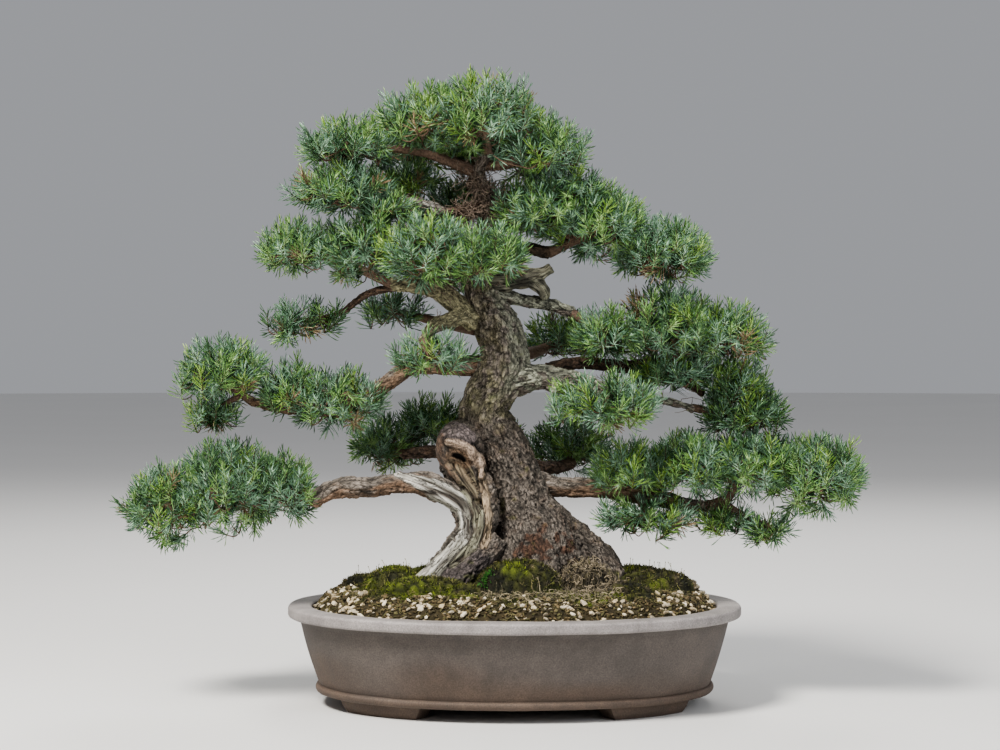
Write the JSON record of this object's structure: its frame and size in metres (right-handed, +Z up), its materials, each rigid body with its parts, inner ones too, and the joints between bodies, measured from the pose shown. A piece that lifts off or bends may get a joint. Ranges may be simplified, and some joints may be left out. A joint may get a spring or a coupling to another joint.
{
  "type": "needle juniper bonsai in an oval pot",
  "caption": "Old needle juniper bonsai with a crooked, deadwood-streaked trunk and layered blue-green foliage pads, in a shallow oval unglazed pot with moss-covered soil.",
  "frame": {"origin": "middle of the whole plant's length and depth, on the surface that the pot's feet stand on", "axes": "+X along the pot to the viewer's right, +Y to the back, +Z up"},
  "size_m": [0.733, 0.352, 0.6246],
  "materials": {
    "stoneware": "unglazed grey-brown stoneware, matt, with a fine grain",
    "soil": "grit and fired clay grains under moss, matt and rough",
    "bark": "flaky grey-brown bark with lengthwise furrows",
    "deadwood": "bleached bare wood with lengthwise cracks, matt",
    "needles": "stiff pointed blue-green needles with a pale bloom, slightly waxy"
  },
  "bodies": {
    "root": {"pot": "stoneware", "foot_front_left": "stoneware", "foot_front_right": "stoneware", "foot_back_left": "stoneware", "foot_back_right": "stoneware", "soil": "soil", "trunk": "bark", "bough_left_low": "bark", "bough_left_mid": "bark", "bough_crown_left": "bark", "branch_left_front": "bark", "branch_left_upper": "bark", "bough_right_upper": "bark", "jin_right": "deadwood", "bough_right_mid": "bark", "branch_right_upper": "bark", "bough_right_low": "bark", "bough_back_left": "bark", "bough_back_right": "bark", "bough_back_low": "bark", "bough_crown_right": "bark", "bough_crown_left_upper": "bark", "mass_apex": "needles", "mass_apex_right": "needles", "mass_apex_back": "needles", "mass_crown_left_top": "needles", "mass_crown_left": "needles", "mass_skirt_left": "needles", "mass_skirt_front": "needles", "mass_shoulder_right": "needles", "mass_shoulder_back": "needles", "mass_right_upper_in": "needles", "mass_right_upper": "needles", "mass_right_mid": "needles", "mass_right_front": "needles", "mass_right_low_in": "needles", "mass_right_low": "needles", "mass_right_low_under": "needles", "mass_left_low": "needles", "mass_left_mid_tip": "needles", "mass_left_mid": "needles", "mass_left_upper": "needles", "mass_under_crown": "needles", "mass_left_front": "needles", "mass_back_left": "needles", "mass_back_right": "needles", "mass_back_right_upper": "needles", "mass_back_low": "needles", "mass_back_mid": "needles"}
  },
  "joints": []
}
